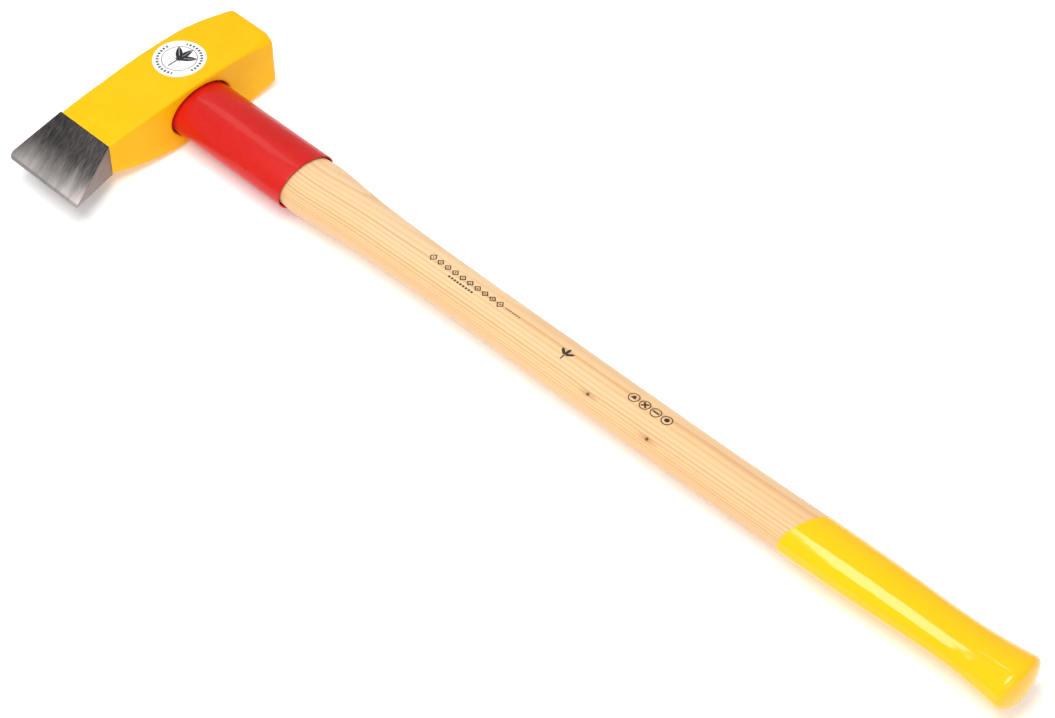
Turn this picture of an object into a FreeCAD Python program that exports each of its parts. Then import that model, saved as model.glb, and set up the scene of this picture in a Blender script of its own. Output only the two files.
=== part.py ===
import FreeCAD, Part
import math
import os

# Splitting maul: forged steel head, ash handle, steel protective sleeve through the eye.
# Frame, in millimetres: the origin is where the handle axis meets the head's handle-side face.
# +X runs down the handle to the grip, +Y towards the poll, +Z out of the labelled cheek.

Vector = FreeCAD.Vector

# ---- Head: sizes along Y (edge to poll), X (along the handle) and Z (cheek to cheek) ----
EDGE_Y = -132.0
POLL_Y = 73.0
GRIND_LENGTH = 49.0
HEAD_HEIGHT = 55.5
CHEEK_HALF = 25.4
GRIND_HALF = 13.8
POLL_HALF = 24.8
EDGE_HALF = 0.25
MICRO_BEVEL_LENGTH = 2.2
MICRO_BEVEL_HALF = 1.1
HEEL_OVERHANG = 15.0
HEEL_WAIST = 5.0
TOE_OVERHANG = 7.2
TOE_WAIST = 3.4
TOE_RADIUS = 6.0
HEEL_RADIUS = 1.2
POLL_TAPER = 5.0
POLL_CHAMFER_X = 7.5
POLL_CHAMFER_Z = 6.0
POLL_CHAMFER_RUN = 34.0
POLL_RADIUS = 2.0

# ---- Eye and protective sleeve ----
SLEEVE_HALF_Y = 27.0
SLEEVE_HALF_Z = 18.4
SLEEVE_WALL = 1.2
SLEEVE_OVERHANG = 112.0
SLEEVE_FIT = 0.05
EYE_MOUTH_FLARE = 1.1
EYE_WAIST_SHARE = 0.5
EYE_RECESS = 1.5

# ---- Handle ----
HANDLE_LENGTH = 812.0
HANDLE_FIT = 0.05
HANDLE_TOP_RECESS = 2.0
THROAT_LOOSENESS = 1.2
NECK_LENGTH = 120.0
GRIP_HALF_Y = 19.9
GRIP_ASPECT = 0.67
KNOB_HALF_Y = 23.0
KNOB_LENGTH = 36.0
BOW = 3.2
KNOB_DOME_RADIUS = 48.0
KNOB_EDGE_RADIUS = 5.5

# ---- Wedge ----
WEDGE_DEPTH = 40.0
WEDGE_TOP_THICKNESS = 5.0
WEDGE_TIP_THICKNESS = 1.0
WEDGE_SIDE_MARGIN = 3.8
WEDGE_FROM_SCREW = 1.5
WEDGE_FIT = 0.03

# ---- Locking plate and screw ----
PLATE_THICKNESS = 2.5
PLATE_OVERLAP = 1.2
PLATE_LAND_MARGIN = 1.5
PLATE_EDGE_RADIUS = 0.8
SCREW_RADIUS = 4.0
SCREW_ROOT_RADIUS = 3.1
SCREW_PITCH = 3.2
SCREW_LENGTH = 60.0
SCREW_PLAIN_LENGTH = 9.0
SCREW_TIP_LENGTH = 7.0
HEX_ACROSS_FLATS = 13.0
HEX_HEIGHT = 5.3
HEX_CHAMFER_ANGLE = 30.0
SCREW_HOLE_CLEARANCE = 0.4
THREAD_FIT = 0.04
WASHER_RADIUS = 7.4
WASHER_THICKNESS = 2.0
WASHER_SPLIT = 1.4

# ---- Grip coating and label ----
COATING_LENGTH = 183.0
COATING_THICKNESS = 0.45
LABEL_RADIUS = 20.0
LABEL_THICKNESS = 0.25
LABEL_Y = 7.1
LABEL_FROM_SHOULDER = 30.0

# ---- Places worked out from the sizes above ----
GRIND_Y = EDGE_Y + GRIND_LENGTH
TOP_X = -HEAD_HEIGHT
HANDLE_TOP_X = TOP_X + HANDLE_TOP_RECESS
KNOB_END_X = HANDLE_TOP_X + HANDLE_LENGTH
SLEEVE_INNER_Y = SLEEVE_HALF_Y - SLEEVE_WALL
SLEEVE_INNER_Z = SLEEVE_HALF_Z - SLEEVE_WALL
TONGUE_HALF_Y = SLEEVE_INNER_Y - HANDLE_FIT
TONGUE_HALF_Z = SLEEVE_INNER_Z - HANDLE_FIT
PLATE_BACK_X = TOP_X - PLATE_THICKNESS
WASHER_BACK_X = PLATE_BACK_X - WASHER_THICKNESS
WEDGE_HALF_Y = SLEEVE_INNER_Y - WEDGE_SIDE_MARGIN
PLATE_HALF_Y = SLEEVE_HALF_Y + EYE_MOUTH_FLARE + PLATE_OVERLAP
PLATE_HALF_Z = SLEEVE_HALF_Z + EYE_MOUTH_FLARE + PLATE_OVERLAP
EYE_LAND_Y = PLATE_HALF_Y + PLATE_LAND_MARGIN
BEYOND = 5.0


def ellipse_wire(x, centre_y, half_y, half_z):
    """Upright ellipse across the handle axis at x."""
    centre = Vector(x, centre_y, 0)
    if half_y >= half_z:
        side = centre + Vector(0, half_y, 0)
        top = centre + Vector(0, 0, half_z)
    else:
        side = centre + Vector(0, 0, half_z)
        top = centre + Vector(0, half_y, 0)
    return Part.Wire([Part.Ellipse(side, top, centre).toShape()])


def elliptic_prism(x0, x1, half_y, half_z):
    """Straight elliptic rod along the handle axis."""
    face = Part.Face(ellipse_wire(x0, 0, half_y, half_z))
    return face.extrude(Vector(x1 - x0, 0, 0))


def mirror_z(points):
    """The same points below the mid plane, in reverse order."""
    return [Vector(p.x, p.y, -p.z) for p in reversed(points)]


def cheek_curve(grow):
    """Convex cheek from the grind line to the poll, over the eye."""
    eye_y = 0.05 * POLL_Y
    points = [
        Vector(0, GRIND_Y, GRIND_HALF + grow),
        Vector(0, 0.36 * GRIND_Y, 0.925 * CHEEK_HALF + grow),
        Vector(0, eye_y, CHEEK_HALF + grow),
        Vector(0, 0.62 * POLL_Y, 0.5 * (CHEEK_HALF + POLL_HALF) - 0.6 + grow),
        Vector(0, POLL_Y, POLL_HALF + grow),
    ]
    curve = Part.BSplineCurve()
    curve.interpolate(points)
    return curve.toShape()


def cheek_prism(grow=0.0):
    """Both cheeks and the ground bit, run through along the handle axis."""
    upper_bit = [
        Vector(0, EDGE_Y, EDGE_HALF + grow),
        Vector(0, EDGE_Y + MICRO_BEVEL_LENGTH, MICRO_BEVEL_HALF + grow),
        Vector(0, GRIND_Y, GRIND_HALF + grow),
    ]
    upper = cheek_curve(grow)
    lower = upper.mirror(Vector(0, 0, 0), Vector(0, 0, 1))
    poll_top = Vector(0, POLL_Y, POLL_HALF + grow)
    poll = Part.makePolygon([poll_top] + mirror_z([poll_top]))
    bit = Part.makePolygon(mirror_z(upper_bit) + upper_bit)
    edges = bit.Edges + upper.Edges + poll.Edges + lower.Edges
    outline = Part.Wire(Part.__sortEdges__(edges))
    prism = Part.Face(outline).extrude(Vector(2 * HEAD_HEIGHT, 0, 0))
    prism.translate(Vector(-1.5 * HEAD_HEIGHT, 0, 0))
    return prism


def side_prism():
    """The head seen on its cheek: heel and toe flare, flat eye faces, tapered poll."""
    flat_near = -EYE_LAND_Y
    flat_far = EYE_LAND_Y
    heel = Vector(HEEL_OVERHANG, EDGE_Y, 0)
    toe = Vector(TOP_X - TOE_OVERHANG, EDGE_Y, 0)
    heel_waist = Vector(-HEEL_WAIST, GRIND_Y, 0)
    toe_waist = Vector(TOP_X - TOE_WAIST, GRIND_Y, 0)
    heel_flat = Vector(0, flat_near, 0)
    toe_flat = Vector(TOP_X, flat_near, 0)
    heel_mid = Vector(-0.35 * HEEL_WAIST, 0.5 * (GRIND_Y + flat_near), 0)
    toe_mid = Vector(TOP_X - 0.35 * TOE_WAIST, 0.5 * (GRIND_Y + flat_near), 0)
    poll_near = Vector(0, POLL_Y, 0)
    poll_far = Vector(TOP_X + POLL_TAPER, POLL_Y, 0)
    poll_start = Vector(TOP_X, flat_far, 0)
    outline = Part.Wire([
        Part.makeLine(poll_near, heel_flat),
        Part.Arc(heel_flat, heel_mid, heel_waist).toShape(),
        Part.makeLine(heel_waist, heel),
        Part.makeLine(heel, toe),
        Part.makeLine(toe, toe_waist),
        Part.Arc(toe_waist, toe_mid, toe_flat).toShape(),
        Part.makeLine(toe_flat, poll_start),
        Part.makeLine(poll_start, poll_far),
        Part.makeLine(poll_far, poll_near),
    ])
    prism = Part.Face(outline).extrude(Vector(0, 0, 4 * CHEEK_HALF))
    prism.translate(Vector(0, 0, -2 * CHEEK_HALF))
    corners = [(heel, HEEL_RADIUS), (toe, TOE_RADIUS)]
    for corner, radius in corners:
        edges = [e for e in prism.Edges if is_upright_at(e, corner)]
        prism = prism.makeFillet(radius, edges)
    return prism


def is_upright_at(edge, corner):
    """True for a Z-parallel edge through the corner's x and y."""
    return all(math.hypot(v.X - corner.x, v.Y - corner.y) < 0.01 for v in edge.Vertexes)


def half_space(point, normal):
    """Large block on the side of a plane that its normal points to."""
    size = 4 * (POLL_Y - EDGE_Y)
    block = Part.makeBox(size, size, size, Vector(-size / 2, -size / 2, 0))
    turn = FreeCAD.Rotation(Vector(0, 0, 1), normal)
    block.Placement = FreeCAD.Placement(point, turn).multiply(block.Placement)
    return block


def poll_chamfer(side, cheek):
    """Corner facet that widens towards the poll; side is +1 at the heel, -1 at the toe."""
    corner_x = 0.0 if side > 0 else TOP_X + POLL_TAPER
    start_x = 0.0 if side > 0 else TOP_X + 0.4 * POLL_TAPER
    start = Vector(start_x, POLL_Y - POLL_CHAMFER_RUN, cheek * (POLL_HALF + 0.5))
    inward = Vector(corner_x - side * POLL_CHAMFER_X, POLL_Y, cheek * POLL_HALF)
    down = Vector(corner_x, POLL_Y, cheek * (POLL_HALF - POLL_CHAMFER_Z))
    normal = (inward - start).cross(down - start)
    if normal.x * side < 0:
        normal = normal.negative()
    return half_space(start, normal)


def eye_shape():
    """Oval eye with a waist that grips the sleeve and a flared mouth on each side."""
    waist_y = SLEEVE_HALF_Y + SLEEVE_FIT
    waist_z = SLEEVE_HALF_Z + SLEEVE_FIT
    waist_x = EYE_WAIST_SHARE * TOP_X
    slope = EYE_MOUTH_FLARE / abs(waist_x)
    sections = []
    for x in (TOP_X - BEYOND, waist_x, BEYOND):
        flare = slope * abs(x - waist_x)
        sections.append(ellipse_wire(x, 0, waist_y + flare, waist_z + flare))
    return Part.makeLoft(sections, True, True)


def poll_edges(head):
    """Edges all round the poll face."""
    return [e for e in head.Edges if e.BoundBox.YMin > POLL_Y - 0.1]


def make_head():
    """Forged head with ground bit, convex cheeks, chamfered poll and oval eye."""
    head = cheek_prism().common(side_prism())
    for side in (1, -1):
        for cheek in (1, -1):
            head = head.cut(poll_chamfer(side, cheek))
    head = head.makeFillet(POLL_RADIUS, poll_edges(head))
    return head.cut(eye_shape())


def make_sleeve():
    """Oval steel tube from just under the plate to below the head."""
    x0 = TOP_X + EYE_RECESS
    outer = elliptic_prism(x0, SLEEVE_OVERHANG, SLEEVE_HALF_Y, SLEEVE_HALF_Z)
    inner = elliptic_prism(x0 - BEYOND, SLEEVE_OVERHANG + BEYOND, SLEEVE_INNER_Y, SLEEVE_INNER_Z)
    return outer.cut(inner)


def handle_stations():
    """Half widths along the handle below the sleeve, as (x, half_y, half_z, centre_y)."""
    throat_y = SLEEVE_INNER_Y - THROAT_LOOSENESS
    throat_z = SLEEVE_INNER_Z - THROAT_LOOSENESS
    grip_z = GRIP_ASPECT * GRIP_HALF_Y
    knob_z = grip_z + (KNOB_HALF_Y - GRIP_HALF_Y)
    knob_x = KNOB_END_X - KNOB_LENGTH
    neck = SLEEVE_OVERHANG
    stations = [
        (neck, throat_y, throat_z, 0.0),
    ]
    for share, shoulder in ((0.22, 0.99), (0.45, 0.5), (0.72, 0.18), (1.0, 0.03)):
        half_y = GRIP_HALF_Y + shoulder * (throat_y - GRIP_HALF_Y)
        half_z = grip_z + shoulder * (throat_z - grip_z)
        stations.append((neck + share * NECK_LENGTH, half_y, half_z, 0.0))
    run = knob_x - neck - NECK_LENGTH
    for share, width, bow in ((0.3, 1.0, -0.08), (0.6, 1.0, 0.12), (0.85, 0.98, 0.7)):
        x = neck + NECK_LENGTH + share * run
        stations.append((x, width * GRIP_HALF_Y, width * grip_z, bow * BOW))
    waist = 0.95 * GRIP_HALF_Y
    stations.append((knob_x, waist, GRIP_ASPECT * waist, BOW))
    stations.append((knob_x + 0.5 * KNOB_LENGTH, 0.4 * KNOB_HALF_Y + 0.6 * waist,
                     0.4 * knob_z + 0.6 * grip_z, BOW))
    stations.append((KNOB_END_X, KNOB_HALF_Y, knob_z, BOW))
    return stations


def handle_blank(grow=0.0):
    """Oval handle body with its domed end, thickened all round by grow."""
    sections = []
    for x, half_y, half_z, centre_y in handle_stations():
        end_x = x + grow if x == KNOB_END_X else x
        sections.append(ellipse_wire(end_x, centre_y, half_y + grow, half_z + grow))
    blank = Part.makeLoft(sections, True, False)
    tongue = Part.makeLoft([
        ellipse_wire(HANDLE_TOP_X, 0, TONGUE_HALF_Y, TONGUE_HALF_Z),
        ellipse_wire(0, 0, TONGUE_HALF_Y, TONGUE_HALF_Z),
        sections[0],
    ], True, True)
    blank = tongue.fuse(blank)
    end_x = KNOB_END_X + grow
    dome_centre = Vector(end_x - KNOB_DOME_RADIUS, BOW, 0)
    dome = Part.makeSphere(KNOB_DOME_RADIUS, dome_centre)
    dome.rotate(dome_centre, Vector(0, 0, 1), 180)
    size = 4 * KNOB_HALF_Y
    corner = Vector(KNOB_END_X - 0.5 * KNOB_LENGTH, -size / 2, -size / 2)
    end_cap = Part.makeBox(KNOB_LENGTH, size, size, corner).cut(dome)
    blank = blank.cut(end_cap)
    rim = [e for e in blank.Edges if e.BoundBox.XMin > corner.x and e.BoundBox.YLength > KNOB_HALF_Y]
    return blank.makeFillet(KNOB_EDGE_RADIUS, rim)


def wedge_shape(clearance=0.0):
    """Tapered slot along the long axis of the eye, its top flush with the handle's."""
    half_top = 0.5 * WEDGE_TOP_THICKNESS + clearance
    half_tip = 0.5 * WEDGE_TIP_THICKNESS + clearance
    x0 = HANDLE_TOP_X
    x1 = HANDLE_TOP_X + WEDGE_DEPTH + clearance
    half_y = WEDGE_HALF_Y + clearance
    outline = Part.makePolygon([
        Vector(x0, -half_y, -half_top),
        Vector(x1, -half_y, -half_tip),
        Vector(x1, -half_y, half_tip),
        Vector(x0, -half_y, half_top),
        Vector(x0, -half_y, -half_top),
    ])
    return Part.Face(outline).extrude(Vector(0, 2 * half_y, 0))


def screw_body(grow=0.0):
    """Turned lag screw shank along the handle axis: plain neck, ridged thread, point."""
    x0 = WASHER_BACK_X
    thread_x0 = x0 + SCREW_PLAIN_LENGTH
    tip_x = x0 + SCREW_LENGTH
    crest = SCREW_RADIUS + grow
    root = SCREW_ROOT_RADIUS + grow
    points = [Vector(x0, 0, 0), Vector(x0, crest, 0), Vector(thread_x0, crest, 0)]
    turns = int((SCREW_LENGTH - SCREW_PLAIN_LENGTH - SCREW_TIP_LENGTH) / SCREW_PITCH)
    for turn in range(turns):
        x = thread_x0 + turn * SCREW_PITCH
        points.append(Vector(x + 0.25 * SCREW_PITCH, root, 0))
        points.append(Vector(x + 0.75 * SCREW_PITCH, root, 0))
        points.append(Vector(x + SCREW_PITCH, crest, 0))
    points.append(Vector(points[-1].x + 0.25 * SCREW_PITCH, root, 0))
    points.append(Vector(tip_x + grow, 0, 0))
    points.append(points[0])
    profile = Part.Face(Part.makePolygon(points))
    return profile.revolve(Vector(0, 0, 0), Vector(1, 0, 0), 360)


def make_handle():
    """Ash handle with the wedge kerf and the screw's hole in its top."""
    handle = handle_blank()
    handle = handle.cut(wedge_shape(WEDGE_FIT))
    return handle.cut(screw_body(THREAD_FIT))


def make_wedges():
    """Pair of hardwood wedges, one on each side of the screw."""
    gap = SCREW_RADIUS + WEDGE_FROM_SCREW
    room = Part.makeBox(2 * WEDGE_DEPTH, 2 * gap, 2 * WEDGE_TOP_THICKNESS,
                        Vector(HANDLE_TOP_X - BEYOND, -gap, -WEDGE_TOP_THICKNESS))
    return wedge_shape().cut(room)


def make_plate():
    """Oval steel plate that covers the eye and is pulled down by the screw."""
    plate = elliptic_prism(PLATE_BACK_X, TOP_X, PLATE_HALF_Y, PLATE_HALF_Z)
    outer = [e for e in plate.Edges if e.BoundBox.XMax < PLATE_BACK_X + 0.01]
    plate = plate.makeFillet(PLATE_EDGE_RADIUS, outer)
    hole_radius = SCREW_RADIUS + SCREW_HOLE_CLEARANCE
    start = Vector(PLATE_BACK_X - BEYOND, 0, 0)
    hole = Part.makeCylinder(hole_radius, PLATE_THICKNESS + 2 * BEYOND, start, Vector(1, 0, 0))
    return plate.cut(hole)


def make_screw():
    """Hexagon lag screw, its head chamfered and sitting on the spring washer."""
    corner_radius = 0.5 * HEX_ACROSS_FLATS / math.cos(math.radians(30))
    corners = []
    for k in range(7):
        angle = math.radians(60 * k + 30)
        y = corner_radius * math.cos(angle)
        z = corner_radius * math.sin(angle)
        corners.append(Vector(WASHER_BACK_X - HEX_HEIGHT, y, z))
    hexagon = Part.Face(Part.makePolygon(corners)).extrude(Vector(HEX_HEIGHT, 0, 0))
    face_radius = 0.47 * HEX_ACROSS_FLATS
    slope = math.tan(math.radians(HEX_CHAMFER_ANGLE))
    cone_length = 2 * HEX_HEIGHT
    cone = Part.makeCone(face_radius, face_radius + cone_length / slope, cone_length,
                         Vector(WASHER_BACK_X - HEX_HEIGHT, 0, 0), Vector(1, 0, 0))
    return hexagon.common(cone).fuse(screw_body()).removeSplitter()


def make_washer():
    """Split spring washer under the screw's head."""
    start = Vector(WASHER_BACK_X, 0, 0)
    ring = Part.makeCylinder(WASHER_RADIUS, WASHER_THICKNESS, start, Vector(1, 0, 0))
    inner_radius = SCREW_RADIUS + SCREW_HOLE_CLEARANCE
    bore = Part.makeCylinder(inner_radius, WASHER_THICKNESS, start, Vector(1, 0, 0))
    split = Part.makeBox(2 * WASHER_THICKNESS, 2 * WASHER_RADIUS, WASHER_SPLIT,
                         Vector(WASHER_BACK_X - 0.5 * WASHER_THICKNESS, 0, -0.5 * WASHER_SPLIT))
    return ring.cut(bore).cut(split)


def make_coating():
    """Dipped coat over the grip and the knob's end."""
    start_x = KNOB_END_X - COATING_LENGTH
    size = 4 * KNOB_HALF_Y
    length = COATING_LENGTH + 2 * BEYOND
    stretch = Part.makeBox(length, size, size, Vector(start_x, -size / 2, -size / 2))
    return handle_blank(COATING_THICKNESS).common(stretch).cut(handle_blank())


def make_label():
    """Thin round adhesive disc that follows the cheek's curve."""
    start = Vector(-LABEL_FROM_SHOULDER, LABEL_Y, 0)
    punch = Part.makeCylinder(LABEL_RADIUS, 2 * CHEEK_HALF, start)
    return cheek_prism(LABEL_THICKNESS).common(punch).cut(cheek_prism())


NODES = {
    "head": make_head,
    "handle": make_handle,
    "protective_sleeve": make_sleeve,
    "wood_wedges": make_wedges,
    "locking_plate": make_plate,
    "lock_washer": make_washer,
    "locking_screw": make_screw,
    "grip_coating": make_coating,
    "label_disc": make_label,
}

os.makedirs("parts", exist_ok=True)
for name, make in NODES.items():
    shape = make()
    shape.exportStep("parts/" + name + ".step")
    print(name, shape.isValid(), len(shape.Solids), round(shape.Volume / 1000, 2), "cm3")
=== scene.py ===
"""Splitting maul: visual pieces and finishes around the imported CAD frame, in metres."""

import logging
import math
from dataclasses import dataclass
from enum import Enum

import bmesh
import bpy
from mathutils import Matrix, Vector, noise
from mathutils.bvhtree import BVHTree


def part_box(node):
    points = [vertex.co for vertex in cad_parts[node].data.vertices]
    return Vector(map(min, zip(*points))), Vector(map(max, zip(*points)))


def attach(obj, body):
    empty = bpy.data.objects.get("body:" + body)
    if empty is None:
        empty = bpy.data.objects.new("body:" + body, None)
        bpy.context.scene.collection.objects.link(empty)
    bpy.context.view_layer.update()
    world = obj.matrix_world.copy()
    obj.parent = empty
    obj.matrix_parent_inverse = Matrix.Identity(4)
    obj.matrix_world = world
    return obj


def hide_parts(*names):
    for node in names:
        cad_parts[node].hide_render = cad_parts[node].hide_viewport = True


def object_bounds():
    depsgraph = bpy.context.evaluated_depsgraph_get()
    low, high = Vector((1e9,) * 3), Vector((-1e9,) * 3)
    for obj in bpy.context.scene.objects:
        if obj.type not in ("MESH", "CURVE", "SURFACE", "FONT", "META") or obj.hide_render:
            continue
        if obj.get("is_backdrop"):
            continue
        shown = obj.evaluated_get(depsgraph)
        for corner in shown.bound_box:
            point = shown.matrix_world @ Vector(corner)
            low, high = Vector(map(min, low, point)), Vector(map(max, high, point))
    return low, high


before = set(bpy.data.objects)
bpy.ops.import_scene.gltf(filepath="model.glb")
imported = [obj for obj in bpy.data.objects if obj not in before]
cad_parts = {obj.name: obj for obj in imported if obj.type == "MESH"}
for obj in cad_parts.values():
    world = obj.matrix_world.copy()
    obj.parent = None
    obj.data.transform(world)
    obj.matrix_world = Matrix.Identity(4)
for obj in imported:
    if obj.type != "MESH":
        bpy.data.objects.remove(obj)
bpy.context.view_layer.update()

LOG = logging.getLogger("maul")
MM = 0.001
WELD = 0.002 * MM
TO_POLL = Vector((0.0, 1.0, 0.0))

Colour = tuple[float, float, float, float]
Node = bpy.types.Node
Socket = bpy.types.NodeSocket


def rgb(red: float, green: float, blue: float) -> Colour:
    """Opaque linear colour."""
    return (red, green, blue, 1.0)


# ---------------------------------------------------------------- shader tools


class Wiring:
    """Adds and joins the nodes of one shader tree."""

    def __init__(self, tree: bpy.types.NodeTree) -> None:
        """Keeps the tree to build in.

        Args:
            tree: node tree of a material or a node group.
        """
        self.tree = tree

    def add(self, kind: str, **settings: object) -> Node:
        """Makes a node.

        Args:
            kind: Blender's node type name.
            settings: attributes of the node to set.

        Returns:
            The new node.
        """
        node = self.tree.nodes.new(kind)
        for name, value in settings.items():
            setattr(node, name, value)
        return node

    def join(self, source: Socket, target: Socket) -> None:
        """Links an output to an input.

        Args:
            source: the output.
            target: the input.
        """
        self.tree.links.new(source, target)

    def feed(self, target: Socket, value: object) -> None:
        """Sets an input to a constant, or links it when the value is a socket.

        Args:
            target: the input.
            value: a constant or an output.
        """
        if isinstance(value, bpy.types.NodeSocket):
            self.join(value, target)
        else:
            target.default_value = value

    def maths(self, operation: str, *values: object, clamp: bool = False) -> Socket:
        """Math node.

        Args:
            operation: Blender's operation name.
            values: up to three inputs, constants or sockets.
            clamp: keep the result between 0 and 1.

        Returns:
            The result's socket.
        """
        node = self.add("ShaderNodeMath", operation=operation, use_clamp=clamp)
        for slot, value in zip(node.inputs, values):
            self.feed(slot, value)
        return node.outputs[0]

    def times(self, first: object, second: object) -> Socket:
        """Product of two constants or sockets."""
        return self.maths("MULTIPLY", first, second)

    def plus(self, first: object, second: object) -> Socket:
        """Sum of two constants or sockets."""
        return self.maths("ADD", first, second)

    def minus(self, first: object, second: object) -> Socket:
        """First less second, each a constant or a socket."""
        return self.maths("SUBTRACT", first, second)

    def swing(self, value: Socket, amount: float) -> Socket:
        """A noise value taken about its middle, times an amount."""
        return self.times(self.minus(value, 0.5), amount)

    def hypot(self, along: Socket, across: Socket) -> Socket:
        """Distance that two offsets at right angles make."""
        return self.maths("SQRT", self.plus(self.times(along, along), self.times(across, across)))

    def mix(self, mask: object, low: object, high: object) -> Socket:
        """Colour between low and high by a mask.

        Args:
            mask: factor from 0 to 1.
            low: colour at 0.
            high: colour at 1.

        Returns:
            The mixed colour's socket.
        """
        node = self.add("ShaderNodeMix", data_type="RGBA")
        self.feed(node.inputs[0], mask)
        self.feed(node.inputs[6], low)
        self.feed(node.inputs[7], high)
        return node.outputs[2]

    def scale(self, value: Socket, from_low: float, from_high: float,
              to_low: float = 0.0, to_high: float = 1.0) -> Socket:
        """Clamped linear remap of a value.

        Args:
            value: the input socket.
            from_low: input that gives to_low.
            from_high: input that gives to_high.
            to_low: result at from_low.
            to_high: result at from_high.

        Returns:
            The remapped value's socket.
        """
        node = self.add("ShaderNodeMapRange", clamp=True)
        for slot, number in zip(node.inputs[1:5], (from_low, from_high, to_low, to_high)):
            slot.default_value = number
        self.join(value, node.inputs[0])
        return node.outputs[0]

    def noise(self, vector: Socket, scale: object, detail: float = 3.0, rough: float = 0.55) -> Socket:
        """Noise texture value.

        Args:
            vector: coordinates.
            scale: features per metre, a constant or a socket.
            detail: octaves.
            rough: octave roughness.

        Returns:
            The noise value's socket.
        """
        node = self.add("ShaderNodeTexNoise")
        self.join(vector, node.inputs["Vector"])
        self.feed(node.inputs["Scale"], scale)
        node.inputs["Detail"].default_value = detail
        node.inputs["Roughness"].default_value = rough
        return node.outputs["Fac"]

    def place(self, vector: Socket, offset: Vector = Vector(), turn: Vector = Vector(),
              stretch: Vector = Vector((1.0, 1.0, 1.0))) -> Socket:
        """Mapping node.

        Args:
            vector: coordinates to change.
            offset: shift, in metres.
            turn: Euler turn, in radians.
            stretch: scale on each axis.

        Returns:
            The changed coordinates' socket.
        """
        node = self.add("ShaderNodeMapping")
        self.join(vector, node.inputs["Vector"])
        node.inputs["Location"].default_value = offset
        node.inputs["Rotation"].default_value = turn
        node.inputs["Scale"].default_value = stretch
        return node.outputs[0]

    def axes(self, vector: Socket) -> tuple[Socket, Socket, Socket]:
        """The three parts of a vector.

        Args:
            vector: the vector's socket.

        Returns:
            Its x, y and z.
        """
        node = self.add("ShaderNodeSeparateXYZ")
        self.join(vector, node.inputs[0])
        return node.outputs[0], node.outputs[1], node.outputs[2]


def new_group(name: str, inputs: dict[str, tuple[str, object]],
              outputs: dict[str, str]) -> tuple[Wiring, Node, Node]:
    """Starts a shader node group.

    Args:
        name: the group's name.
        inputs: socket name to its type and default value.
        outputs: socket name to its type.

    Returns:
        The wiring, and the group's input and output nodes.
    """
    tree = bpy.data.node_groups.new(name, "ShaderNodeTree")
    for label, (kind, value) in inputs.items():
        socket = tree.interface.new_socket(label, in_out="INPUT", socket_type=kind)
        if value is not None:
            socket.default_value = value
    for label, kind in outputs.items():
        tree.interface.new_socket(label, in_out="OUTPUT", socket_type=kind)
    wiring = Wiring(tree)
    return wiring, wiring.add("NodeGroupInput"), wiring.add("NodeGroupOutput")


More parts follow.
